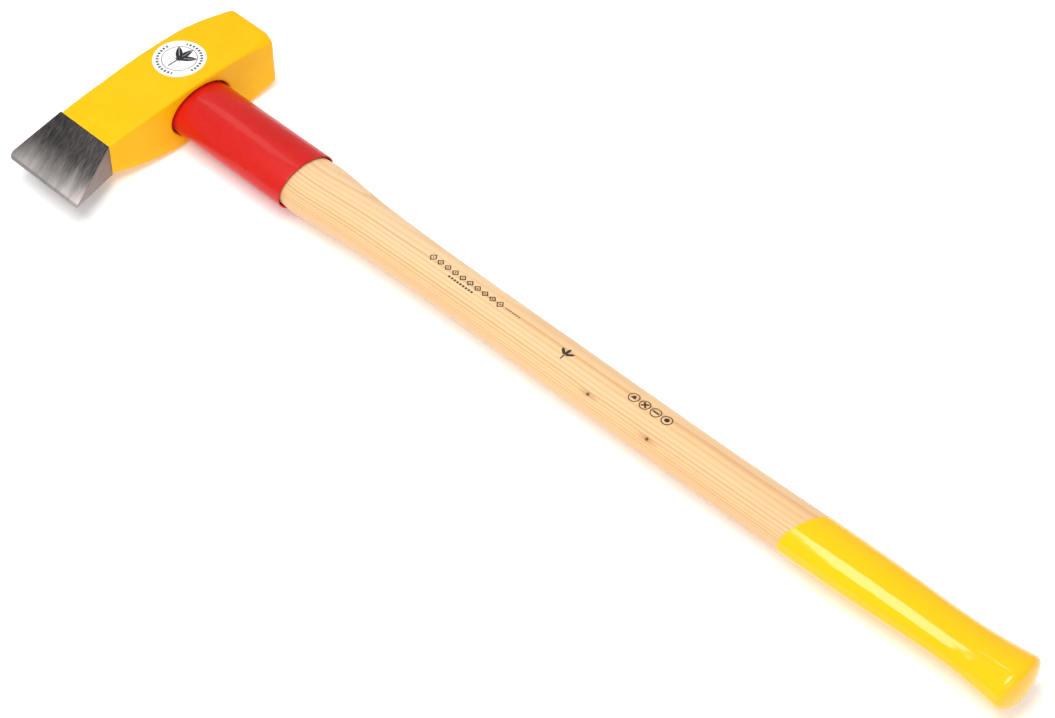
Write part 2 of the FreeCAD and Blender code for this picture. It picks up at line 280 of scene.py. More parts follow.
class Groups:
    """The shader groups that several finishes share, each built once."""

    def __init__(self) -> None:
        """Builds every shared group."""
        self.edge_wear = self._edge_wear()
        self.brushing = self._brushing()
        self.paint_skin = self._paint_skin()
        self.dust = self._dust()
        self.ring = self._ring()

    def _edge_wear(self) -> bpy.types.NodeTree:
        """Mask of worn convex edges, broken up by noise."""
        wire, given, result = new_group(
            "edge_wear",
            {
                "Vector": ("NodeSocketVector", None),
                "Amount": ("NodeSocketFloat", 0.5),
                "Breakup": ("NodeSocketFloat", 180.0),
            },
            {"Mask": "NodeSocketFloat"},
        )
        geometry = wire.add("ShaderNodeNewGeometry")
        edge = wire.scale(geometry.outputs["Pointiness"], 0.52, 0.58)
        patchy = wire.noise(given.outputs["Vector"], given.outputs["Breakup"], 4.0, 0.5)
        broken = wire.times(edge, wire.scale(patchy, 0.4, 0.62))
        mask = wire.maths("MULTIPLY", broken, given.outputs["Amount"], clamp=True)
        wire.join(mask, result.inputs["Mask"])
        return wire.tree

    def _brushing(self) -> bpy.types.NodeTree:
        """Fine streaks from grinding, along the chosen stretch of the coordinates."""
        wire, given, result = new_group(
            "brushing",
            {"Vector": ("NodeSocketVector", None), "Fineness": ("NodeSocketFloat", 900.0)},
            {"Streaks": "NodeSocketFloat", "Broad": "NodeSocketFloat"},
        )
        for label, share, detail in (("Streaks", 1.0, 5.0), ("Broad", 0.12, 3.0)):
            size = wire.times(given.outputs["Fineness"], share)
            wire.join(wire.noise(given.outputs["Vector"], size, detail, 0.65), result.inputs[label])
        return wire.tree

    def _paint_skin(self) -> bpy.types.NodeTree:
        """Height and tone of a sprayed or dipped paint film: orange peel and soft runs."""
        wire, given, result = new_group(
            "paint_skin",
            {
                "Vector": ("NodeSocketVector", None),
                "Peel": ("NodeSocketFloat", 420.0),
                "Runs": ("NodeSocketFloat", 28.0),
            },
            {"Height": "NodeSocketFloat", "Tone": "NodeSocketFloat"},
        )
        peel = wire.noise(given.outputs["Vector"], given.outputs["Peel"], 2.0, 0.5)
        runs = wire.noise(given.outputs["Vector"], given.outputs["Runs"], 3.0, 0.5)
        wire.join(wire.plus(wire.times(peel, 0.25), runs), result.inputs["Height"])
        wire.join(wire.scale(runs, 0.35, 0.65), result.inputs["Tone"])
        return wire.tree

    def _dust(self) -> bpy.types.NodeTree:
        """Sparse small specks."""
        wire, given, result = new_group(
            "dust",
            {"Vector": ("NodeSocketVector", None), "Scale": ("NodeSocketFloat", 260.0)},
            {"Mask": "NodeSocketFloat"},
        )
        cells = wire.add("ShaderNodeTexVoronoi")
        wire.join(given.outputs["Vector"], cells.inputs["Vector"])
        wire.join(given.outputs["Scale"], cells.inputs["Scale"])
        speck = wire.scale(cells.outputs["Distance"], 0.06, 0.11, 1.0, 0.0)
        rare = wire.maths("GREATER_THAN", wire.axes(cells.outputs["Color"])[0], 0.86)
        wire.join(wire.times(speck, rare), result.inputs["Mask"])
        return wire.tree

    def _ring(self) -> bpy.types.NodeTree:
        """Mask of a soft-edged ring from a distance to its centre."""
        wire, given, result = new_group(
            "ring",
            {
                "Distance": ("NodeSocketFloat", 0.0),
                "Radius": ("NodeSocketFloat", 0.01),
                "Half Width": ("NodeSocketFloat", 0.0005),
            },
            {"Mask": "NodeSocketFloat"},
        )
        away = wire.maths("ABSOLUTE", wire.minus(given.outputs["Distance"], given.outputs["Radius"]))
        share = wire.maths("DIVIDE", away, given.outputs["Half Width"])
        wire.join(wire.scale(share, 0.8, 1.2, 1.0, 0.0), result.inputs["Mask"])
        return wire.tree


class Finish:
    """A material being built: its wiring, object coordinates and Principled shader."""

    def __init__(self, name: str, groups: Groups) -> None:
        """Starts an empty material.

        Args:
            name: the material's name.
            groups: the shared shader groups.
        """
        self.material = bpy.data.materials.new(name)
        self.material.use_nodes = True
        tree = self.material.node_tree
        tree.nodes.clear()
        self.wire = Wiring(tree)
        self.groups = groups
        self.shader = self.wire.add("ShaderNodeBsdfPrincipled")
        output = self.wire.add("ShaderNodeOutputMaterial")
        self.wire.join(self.shader.outputs[0], output.inputs["Surface"])
        self.coords = self.wire.add("ShaderNodeTexCoord").outputs["Object"]

    def set(self, **values: object) -> None:
        """Sets or links the shader's inputs.

        Args:
            values: constants or sockets; underscores in their names stand for spaces.
        """
        for name, value in values.items():
            self.wire.feed(self.shader.inputs[name.replace("_", " ")], value)

    def use(self, tree: bpy.types.NodeTree, **values: object) -> Node:
        """Places a shared group.

        Args:
            tree: the group.
            values: its inputs; underscores stand for spaces.

        Returns:
            The group's node.
        """
        node = self.wire.add("ShaderNodeGroup", node_tree=tree)
        for name, value in values.items():
            self.wire.feed(node.inputs[name.replace("_", " ")], value)
        return node

    def relief(self, height: Socket, strength: float, depth: float) -> None:
        """Bump on the surface.

        Args:
            height: the relief's height.
            strength: share of the full effect.
            depth: height of the relief, in metres.
        """
        node = self.wire.add("ShaderNodeBump")
        node.inputs["Strength"].default_value = strength
        node.inputs["Distance"].default_value = depth
        self.wire.join(height, node.inputs["Height"])
        self.wire.join(node.outputs[0], self.shader.inputs["Normal"])


# ---------------------------------------------------------------- finishes


@dataclass(frozen=True)
class ForgingPaint:
    """Yellow spray paint over a rough forging, thinner on the ridges and along its cut line."""

    paint_end_y: float
    lip_width: float = 0.9 * MM
    relief_depth: float = 0.25 * MM
    paint: Colour = rgb(0.96, 0.500, 0.0)
    thick: Colour = rgb(0.94, 0.440, 0.0)
    thin: Colour = rgb(1.0, 0.60, 0.01)
    scuff: Colour = rgb(0.42, 0.25, 0.02)

    def make(self, groups: Groups) -> bpy.types.Material:
        """Builds the material.

        Args:
            groups: the shared shader groups.

        Returns:
            The painted forging's material.
        """
        finish = Finish("yellow_forging", groups)
        wire = finish.wire
        skin = finish.use(groups.paint_skin, Vector=finish.coords, Peel=420.0, Runs=60.0)
        wear = finish.use(groups.edge_wear, Vector=finish.coords, Amount=0.55, Breakup=220.0)
        specks = finish.use(groups.dust, Vector=finish.coords, Scale=110.0)
        cloud = wire.scale(wire.noise(finish.coords, 14.0), 0.32, 0.68)
        colour = wire.mix(wire.times(cloud, 0.55), self.paint, self.thick)
        colour = wire.mix(wire.times(skin.outputs["Tone"], 0.25), colour, self.thin)
        colour = wire.mix(wear.outputs["Mask"], colour, self.thin)
        colour = wire.mix(wire.times(specks.outputs["Mask"], 0.16), colour, self.scuff)
        y = wire.axes(finish.coords)[1]
        lip = wire.scale(y, self.paint_end_y, self.paint_end_y + self.lip_width, 0.6, 0.0)
        finish.set(Base_Color=wire.mix(lip, colour, self.thin))
        finish.set(Roughness=wire.scale(skin.outputs["Tone"], 0.0, 1.0, 0.46, 0.36))
        finish.set(Specular_IOR_Level=0.15)
        grit = wire.times(wire.noise(finish.coords, 900.0, 2.0), 0.3)
        finish.relief(wire.plus(skin.outputs["Height"], grit), 0.5, self.relief_depth)
        return finish.material


@dataclass(frozen=True)
class GroundSteel:
    """Bare ground bit with slanting grinding marks, and a painted reflection that runs from dark by the paint
    to bright by the edge.
    """

    grind_y: float
    edge_y: float
    slant: float = -19.0
    dark: Colour = rgb(0.034, 0.031, 0.030)
    reflection_and_streak: Colour = rgb(0.66, 0.60, 0.57)
    painted_side_shade: Colour = rgb(0.19, 0.155, 0.148)
    scratch: Colour = rgb(0.05, 0.045, 0.045)
    edge_line: Colour = rgb(0.24, 0.22, 0.22)
    hone_start: float = 1.9 * MM
    hone_end: float = 2.4 * MM
    relief_depth: float = 0.06 * MM

    def make(self, groups: Groups) -> bpy.types.Material:
        """Builds the material.

        Args:
            groups: the shared shader groups.

        Returns:
            The ground steel's material.
        """
        finish = Finish("ground_steel", groups)
        wire = finish.wire
        turned = wire.place(finish.coords, turn=Vector((0.0, 0.0, math.radians(self.slant))))
        marks = wire.place(turned, stretch=Vector((1.0, 0.022, 0.35)))
        brush = finish.use(groups.brushing, Vector=marks, Fineness=1500.0)
        y = wire.axes(finish.coords)[1]
        depth = wire.scale(y, self.edge_y, self.grind_y)
        patch = wire.swing(wire.noise(finish.coords, 40.0, 2.0), 0.35)
        waver = wire.plus(wire.swing(brush.outputs["Broad"], 0.42), patch)
        # Painted reflection: the bare steel's colour runs from dark by the paint to bright by the edge,
        # standing in for the reflected surroundings.
        painted_reflection = wire.scale(wire.plus(depth, waver), 0.02, 0.66, 1.0, 0.0)
        colour = wire.mix(wire.maths("POWER", painted_reflection, 1.8), self.dark, self.reflection_and_streak)
        normal = wire.add("ShaderNodeNewGeometry").outputs["Normal"]
        # Painted shade: faces turned along the handle take a set mid-dark tone in place of the reflection
        # gradient.
        sideways = wire.maths("ABSOLUTE", wire.axes(normal)[0])
        painted_side_shade = wire.scale(sideways, 0.6, 0.8)
        colour = wire.mix(wire.times(painted_side_shade, 0.85), colour, self.painted_side_shade)
        streak = wire.scale(brush.outputs["Streaks"], 0.40, 0.66)
        colour = wire.mix(wire.times(streak, 0.16), colour, self.reflection_and_streak)
        shade = wire.scale(brush.outputs["Streaks"], 0.34, 0.46, 0.16, 0.0)
        colour = wire.mix(shade, colour, self.scratch)
        hone = wire.scale(y, self.edge_y + self.hone_start, self.edge_y + self.hone_end, 0.55, 0.0)
        finish.set(Base_Color=wire.mix(hone, colour, self.edge_line), Metallic=0.85)
        finish.set(Roughness=wire.scale(brush.outputs["Streaks"], 0.3, 0.7, 0.30, 0.46))
        finish.relief(brush.outputs["Streaks"], 0.35, self.relief_depth)
        return finish.material


@dataclass(frozen=True)
class GlossPaint:
    """Gloss paint or dip in one hue."""

    name: str
    colour: Colour
    deep: Colour
    rough: float = 0.2
    coat: float = 0.5
    relief_depth: float = 0.2 * MM
    wear: float = 0.3
    runs: float = 24.0

    def make(self, groups: Groups) -> bpy.types.Material:
        """Builds the material.

        Args:
            groups: the shared shader groups.

        Returns:
            The paint's material.
        """
        finish = Finish(self.name, groups)
        wire = finish.wire
        stretched = wire.place(finish.coords, stretch=Vector((0.35, 1.0, 1.0)))
        skin = finish.use(groups.paint_skin, Vector=stretched, Peel=340.0, Runs=self.runs)
        wear = finish.use(groups.edge_wear, Vector=finish.coords, Amount=self.wear, Breakup=300.0)
        specks = finish.use(groups.dust, Vector=finish.coords, Scale=120.0)
        colour = wire.mix(skin.outputs["Tone"], self.deep, self.colour)
        colour = wire.mix(wire.times(specks.outputs["Mask"], 0.3), colour, self.deep)
        worn = tuple(min(1.0, 1.25 * c + 0.05) for c in self.colour[:3]) + (1.0,)
        colour = wire.mix(wear.outputs["Mask"], colour, worn)
        finish.set(Base_Color=colour, Coat_Weight=self.coat, Coat_Roughness=0.04, Specular_IOR_Level=0.25)
        finish.set(Roughness=wire.scale(skin.outputs["Tone"], 0.0, 1.0, self.rough + 0.05, self.rough))
        finish.relief(skin.outputs["Height"], 0.5, self.relief_depth)
        return finish.material


@dataclass(frozen=True)
class WoodFinish:
    """Pale ash with straight grain along X, denser towards the edge side, and pin knots."""

    name: str
    pale: Colour = rgb(0.90, 0.64, 0.36)
    warm: Colour = rgb(0.76, 0.40, 0.16)
    dark: Colour = rgb(0.46, 0.20, 0.055)
    knot_core: Colour = rgb(0.07, 0.028, 0.012)
    knots: tuple[tuple[float, float], ...] = ()
    ring_pitch: float = 1.9 * MM
    heart_y: float = -55.0 * MM
    heart_z: float = -95.0 * MM
    run_out: float = -0.020
    drift: float = 2.2 * MM
    sway: float = 6.0 * MM
    knot_bulge: float = 1.1 * MM
    knot_reach: float = 6.0 * MM
    relief_depth: float = 0.22 * MM

    def make(self, groups: Groups) -> bpy.types.Material:
        """Builds the material.

        Args:
            groups: the shared shader groups.

        Returns:
            The wood's material.
        """
        finish = Finish(self.name, groups)
        wire = finish.wire
        x, y, z = wire.axes(finish.coords)
        bands = self.ring_bands(finish, x, y, z)
        fibre = wire.noise(self.along_grain(finish, 0.016), 2600.0, 4.0, 0.7)
        pores = wire.scale(fibre, 0.60, 0.74)
        patch = wire.scale(wire.noise(self.along_grain(finish, 0.10), 26.0), 0.3, 0.7)
        colour = wire.mix(wire.times(patch, 0.55), self.pale, self.warm)
        colour = wire.mix(wire.times(bands, 0.80), colour, self.warm)
        colour = wire.mix(wire.times(bands, 0.50), colour, self.dark)
        colour = wire.mix(wire.times(pores, 0.30), colour, self.dark)
        colour = self.add_knots(finish, colour, x, y, z)
        finish.set(Base_Color=colour, Coat_Weight=0.12, Coat_Roughness=0.35)
        finish.set(Roughness=wire.scale(fibre, 0.3, 0.7, 0.42, 0.56))
        finish.relief(wire.minus(wire.times(bands, 0.35), wire.times(pores, 0.6)), 0.5, self.relief_depth)
        return finish.material

    @staticmethod
    def along_grain(finish: Finish, squash: float) -> Socket:
        """Coordinates in which noise is drawn out along the handle.

        Args:
            finish: the material being built.
            squash: share of the handle's length that is kept.

        Returns:
            The squashed coordinates.
        """
        return finish.wire.place(finish.coords, stretch=Vector((squash, 1.0, 1.0)))

    def ring_bands(self, finish: Finish, x: Socket, y: Socket, z: Socket) -> Socket:
        """Late-wood bands of the year rings, which the handle's surface cuts at a slant.

        Args:
            finish: the material being built.
            x: place along the handle.
            y: place across it.
            z: height.

        Returns:
            Mask of the bands, strongest towards the edge side.
        """
        wire = finish.wire
        drift = wire.swing(wire.noise(self.along_grain(finish, 0.035), 55.0, 3.0), self.drift)
        level = wire.place(finish.coords, stretch=Vector((1.0, 0.1, 0.1)))
        slope = wire.swing(wire.noise(level, 3.4, 2.0), self.sway)
        shift = wire.plus(wire.plus(slope, self.knot_pull(wire, x, y)), wire.times(x, self.run_out))
        off_y = wire.plus(wire.minus(y, self.heart_y), shift)
        radius = wire.plus(wire.hypot(off_y, wire.minus(z, self.heart_z)), drift)
        count = wire.maths("DIVIDE", radius, self.ring_pitch)
        phase = wire.maths("FRACT", count)
        late = wire.times(wire.scale(phase, 0.35, 0.86), wire.scale(phase, 0.9, 1.0, 1.0, 0.0))
        chance = wire.add("ShaderNodeTexWhiteNoise", noise_dimensions="1D")
        wire.join(wire.maths("FLOOR", count), chance.inputs["W"])
        strength = wire.scale(chance.outputs["Value"], 0.0, 1.0, 0.35, 1.0)
        edge_side = wire.scale(y, -12.0 * MM, 10.0 * MM, 1.0, 0.45)
        return wire.times(wire.times(late, strength), edge_side)

    def knot_pull(self, wire: Wiring, x: Socket, y: Socket) -> object:
        """Sideways pull of the grain lines round each knot.

        Args:
            wire: the material's wiring.
            x: place along the handle.
            y: place across it.

        Returns:
            Shift of the grain, in metres; a plain zero when there is no knot.
        """
        total = 0.0
        for knot in self.knots:
            near = self.knot_distance(wire, x, y, knot, 0.35)
            total = wire.plus(total, wire.scale(near, 0.0, self.knot_reach, self.knot_bulge, 0.0))
        return total

    @staticmethod
    def knot_distance(wire: Wiring, x: Socket, y: Socket, knot: tuple[float, float], squash: float) -> Socket:
        """Distance to a knot, with the handle's length squashed.

        Args:
            wire: the material's wiring.
            x: place along the handle.
            y: place across it.
            knot: the knot's x and y.
            squash: share of the handle's length that is kept.

        Returns:
            The distance, in metres.
        """
        return wire.hypot(wire.times(wire.minus(x, knot[0]), squash), wire.minus(y, knot[1]))

    def add_knots(self, finish: Finish, colour: Socket, x: Socket, y: Socket, z: Socket) -> Socket:
        """Small dark pin knots with a warm halo.

        Args:
            finish: the material being built.
            colour: the wood's colour so far.
            x: place along the handle.
            y: place across it.
            z: height, so that knots show on the upper side only.

        Returns:
            The colour with its knots.
        """
        wire = finish.wire
        upper = wire.maths("GREATER_THAN", z, 0.0)
        for knot in self.knots:
            halo = wire.scale(self.knot_distance(wire, x, y, knot, 0.22), 0.4 * MM, 2.2 * MM, 0.60, 0.0)
            core = wire.scale(self.knot_distance(wire, x, y, knot, 0.80), 0.6 * MM, 1.4 * MM, 0.95, 0.0)
            colour = wire.mix(wire.times(halo, upper), colour, self.dark)
            colour = wire.mix(wire.times(core, upper), colour, self.knot_core)
        return colour


@dataclass(frozen=True)
class ZincPlate:
    """Zinc-plated fastener steel."""

    name: str = "zinc_plate"
    colour: Colour = rgb(0.60, 0.61, 0.62)
    dull: Colour = rgb(0.42, 0.42, 0.40)
    rubbed: Colour = rgb(0.85, 0.85, 0.84)
    relief_depth: float = 0.1 * MM

    def make(self, groups: Groups) -> bpy.types.Material:
        """Builds the material.

        Args:
            groups: the shared shader groups.

        Returns:
            The steel's material.
        """
        finish = Finish(self.name, groups)
        wire = finish.wire
        brush = finish.use(groups.brushing, Vector=finish.coords, Fineness=1400.0)
        wear = finish.use(groups.edge_wear, Vector=finish.coords, Amount=0.5, Breakup=500.0)
        colour = wire.mix(brush.outputs["Broad"], self.colour, self.dull)
        colour = wire.mix(wear.outputs["Mask"], colour, self.rubbed)
        finish.set(Base_Color=colour, Metallic=1.0)
        finish.set(Roughness=wire.scale(brush.outputs["Streaks"], 0.3, 0.7, 0.22, 0.42))
        finish.relief(brush.outputs["Streaks"], 0.3, self.relief_depth)
        return finish.material


@dataclass(frozen=True)
class LabelFinish:
    """Printed white film: a thin ring, a plain leaf emblem and a border of short dashes."""

    centre: tuple[float, float]
    radius: float
    paper: Colour = rgb(0.92, 0.93, 0.94)
    shade: Colour = rgb(0.83, 0.85, 0.88)
    ink: Colour = rgb(0.015, 0.015, 0.017)
    grey: Colour = rgb(0.16, 0.15, 0.20)
    ring_share: float = 0.66
    ring_half_width: float = 0.3 * MM
    border_share: float = 0.82
    border_half_width: float = 1.0 * MM
    dash_count: int = 34
    gap_turn: float = 35.0
    leaf_turns: tuple[float, ...] = (-50.0, 0.0, 50.0)
    leaf_share: float = 0.44
    vein_half_width: float = 0.12 * MM
    stem_half_width: float = 0.5 * MM

    def make(self, groups: Groups) -> bpy.types.Material:
        """Builds the material.

        Args:
            groups: the shared shader groups.

        Returns:
            The label's material.
        """
        finish = Finish("label_film", groups)
        wire = finish.wire
        centre_x, centre_y = self.centre
        local = wire.place(finish.coords, offset=Vector((-centre_x, -centre_y, 0.0)))
        x, y = wire.axes(local)[:2]
        distance = wire.hypot(x, y)
        thin = finish.use(groups.ring, Distance=distance, Radius=self.ring_share * self.radius,
                          Half_Width=self.ring_half_width)
        border = finish.use(groups.ring, Distance=distance, Radius=self.border_share * self.radius,
                            Half_Width=self.border_half_width)
        dashes = wire.times(border.outputs["Mask"], self.dash_beat(wire, wire.maths("ARCTAN2", y, x)))
        cloud = wire.scale(wire.noise(finish.coords, 60.0), 0.3, 0.7)
        colour = wire.mix(cloud, self.paper, self.shade)
        colour = wire.mix(wire.times(thin.outputs["Mask"], 0.95), colour, self.grey)
        colour = wire.mix(wire.times(dashes, 0.95), colour, self.ink)
        finish.set(Base_Color=wire.mix(self.emblem(wire, local), colour, self.ink))
        finish.set(Roughness=wire.scale(wire.noise(finish.coords, 300.0), 0.3, 0.7, 0.38, 0.5))
        finish.set(Specular_IOR_Level=0.3)
        return finish.material

    def dash_beat(self, wire: Wiring, angle: Socket) -> Socket:
        """Even dashes round the border, in two arcs with a gap between them.

        Args:
            wire: the material's wiring.
            angle: turn about the label's centre, in radians.

        Returns:
            1 on a dash, 0 between dashes and in the gaps.
        """
        beat = wire.maths("FRACT", wire.times(angle, self.dash_count / math.tau))
        dash = wire.maths("LESS_THAN", beat, 0.55)
        halves = wire.maths("ABSOLUTE", wire.maths("SINE", wire.plus(angle, math.radians(self.gap_turn))))
        return wire.times(dash, wire.maths("GREATER_THAN", halves, 0.42))

    def emblem(self, wire: Wiring, local: Socket) -> Socket:
        """Generic three-leaf sprig inside the ring.

        Args:
            wire: the material's wiring.
            local: coordinates from the label's centre.

        Returns:
            Mask of the printed sprig.
        """
        leaf = self.leaf_share * self.radius
        x, y = wire.axes(local)[:2]
        slim = wire.maths("LESS_THAN", wire.maths("ABSOLUTE", x), self.stem_half_width)
        above_foot = wire.maths("GREATER_THAN", y, -1.25 * leaf)
        below_leaves = wire.maths("LESS_THAN", y, 0.0)
        total = wire.times(slim, wire.times(above_foot, below_leaves))
        for turn in self.leaf_turns:
            x, y = wire.axes(wire.place(local, turn=Vector((0.0, 0.0, math.radians(turn)))))[:2]
            from_midrib = wire.maths("ABSOLUTE", x)
            along = wire.maths("DIVIDE", wire.minus(y, 0.55 * leaf), leaf)
            width = wire.maths("MAXIMUM", wire.minus(1.0, wire.times(along, along)), 0.0)
            inside = wire.maths("LESS_THAN", from_midrib, wire.times(width, 0.30 * leaf))
            vein = wire.maths("GREATER_THAN", from_midrib, self.vein_half_width)
            total = wire.maths("MAXIMUM", total, wire.times(inside, vein))
        return total


@dataclass(frozen=True)
class PrintFinish:
    """Dark printing ink on wood, a little worn."""

    ink: Colour = rgb(0.020, 0.016, 0.014)
    worn: Colour = rgb(0.16, 0.09, 0.05)

    def make(self, groups: Groups) -> bpy.types.Material:
        """Builds the material.

        Args:
            groups: the shared shader groups.

        Returns:
            The ink's material.
        """
        finish = Finish("printed_ink", groups)
        wire = finish.wire
        fibre = wire.noise(wire.place(finish.coords, stretch=Vector((0.03, 1.0, 1.0))), 2600.0, 4.0, 0.7)
        colour = wire.mix(wire.scale(fibre, 0.55, 0.75), self.ink, self.worn)
        finish.set(Base_Color=colour, Roughness=wire.scale(fibre, 0.3, 0.7, 0.5, 0.65))
        return finish.material


# ---------------------------------------------------------------- mesh tools


def finished(mesh: bmesh.types.BMesh, name: str, material: bpy.types.Material, slot: str,
             *nodes: str, smooth_angle: float = 35.0) -> bpy.types.Object:
    """Makes a finished piece of the maul from a mesh.

    Args:
        mesh: the piece's mesh; it is freed.
        name: the piece's name.
        material: its material.
        slot: the record's material slot; not used.
        nodes: CAD nodes it stands for.
        smooth_angle: edges sharper than this, in degrees, stay sharp.

    Returns:
        The piece.
    """
    piece = to_object(mesh, name, material, smooth_angle)
    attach(piece, "root")
    if nodes:
        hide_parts(*nodes)
    LOG.info("made %s: %d faces", name, len(piece.data.polygons))
    return piece


def to_object(mesh: bmesh.types.BMesh, name: str, material: bpy.types.Material,
              smooth_angle: float = 35.0) -> bpy.types.Object:
    """Turns a bmesh into an object at the origin.

    Args:
        mesh: the piece's mesh, in the frame's metres; it is freed.
        name: the piece's name.
        material: its only material.
        smooth_angle: edges sharper than this, in degrees, stay sharp.

    Returns:
        The new object.
    """
    bmesh.ops.recalc_face_normals(mesh, faces=mesh.faces)
    limit = math.radians(smooth_angle)
    for face in mesh.faces:
        face.smooth = True
    for edge in mesh.edges:
        edge.smooth = len(edge.link_faces) == 2 and edge.calc_face_angle(0.0) < limit
    data = bpy.data.meshes.new(name)
    mesh.to_mesh(data)
    mesh.free()
    data.materials.append(material)
    piece = bpy.data.objects.new(name, data)
    bpy.context.scene.collection.objects.link(piece)
    return piece


def merged_copy(node: str) -> bmesh.types.BMesh:
    """A CAD node's mesh with its loose triangles joined.

    Args:
        node: the CAD node's name.

    Returns:
        The joined mesh.
    """
    mesh = bmesh.new()
    mesh.from_mesh(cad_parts[node].data)
    bmesh.ops.remove_doubles(mesh, verts=mesh.verts, dist=WELD)
    bmesh.ops.dissolve_degenerate(mesh, edges=mesh.edges, dist=WELD)
    return mesh


def surface_of(node: str) -> BVHTree:
    """A CAD node's surface, for dropping points on.

    Args:
        node: the CAD node's name.

    Returns:
        The surface's search tree.
    """
    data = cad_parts[node].data
    points = [vert.co for vert in data.vertices]
    return BVHTree.FromPolygons(points, [face.vertices for face in data.polygons])


def edges_at(points: list[bmesh.types.BMVert]) -> list[bmesh.types.BMEdge]:
    """The edges that meet some points, each once and in a fixed order."""
    return list(dict.fromkeys(edge for point in points for edge in point.link_edges))


def turned(degrees: float) -> Matrix:
    """A turn about the z axis."""
    return Matrix.Rotation(math.radians(degrees), 4, "Z")


def slimmed(share: float) -> Matrix:
    """A squeeze along x to a share of the width."""
    return Matrix.Diagonal(Vector((share, 1.0, 1.0, 1.0)))


def cut_off(mesh: bmesh.types.BMesh, point: Vector, towards: Vector) -> None:
    """Cuts a closed mesh with a plane, keeps one side, and closes the cut.

    Args:
        mesh: the mesh to cut.
        point: point on the plane.
        towards: the plane's normal, on the side that is kept.
    """
    geometry = mesh.verts[:] + mesh.edges[:] + mesh.faces[:]
    cut = bmesh.ops.bisect_plane(mesh, geom=geometry, dist=0.001 * MM, plane_co=point, plane_no=towards,
                                 clear_inner=True)
    rims = [item for item in cut["geom_cut"] if isinstance(item, bmesh.types.BMEdge)]
    bmesh.ops.triangle_fill(mesh, edges=rims, use_beauty=True)


def remeshed(mesh: bmesh.types.BMesh, voxel: float) -> bmesh.types.BMesh:
    """The same closed shape in small even faces.

    Args:
        mesh: the shape; it is freed.
        voxel: size of the faces.

    Returns:
        The new mesh.
    """
    rough = bpy.data.meshes.new("rough")
    mesh.to_mesh(rough)
    mesh.free()
    holder = bpy.data.objects.new("rough", rough)
    bpy.context.scene.collection.objects.link(holder)
    modifier = holder.modifiers.new("voxels", "REMESH")
    modifier.mode = "VOXEL"
    modifier.voxel_size = voxel
    graph = bpy.context.evaluated_depsgraph_get()
    even = bpy.data.meshes.new_from_object(holder.evaluated_get(graph))
    result = bmesh.new()
    result.from_mesh(even)
    bpy.data.objects.remove(holder)
    bpy.data.meshes.remove(rough)
    bpy.data.meshes.remove(even)
    return result


def soften(mesh: bmesh.types.BMesh, width: float, least_angle: float) -> None:
    """Rounds every edge sharper than an angle.

    Args:
        mesh: the mesh to round.
        width: how far from the edge the rounding starts.
        least_angle: in degrees.
    """
    limit = math.radians(least_angle)
    sharp = [edge for edge in mesh.edges if len(edge.link_faces) == 2 and edge.calc_face_angle(0.0) > limit]
    bmesh.ops.bevel(mesh, geom=sharp, offset=width, offset_type="OFFSET", affect="EDGES", segments=3,
                    profile=0.5, material=-1, clamp_overlap=True)


def dress(node: str, material: bpy.types.Material) -> None:
    """Gives a CAD node a finish.

    Args:
        node: the CAD node's name.
        material: its new material.
    """
    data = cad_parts[node].data
    data.materials.clear()
    data.materials.append(material)
    LOG.info("dressed CAD node %s in %s", node, material.name)


# ---------------------------------------------------------------- sub-assemblies


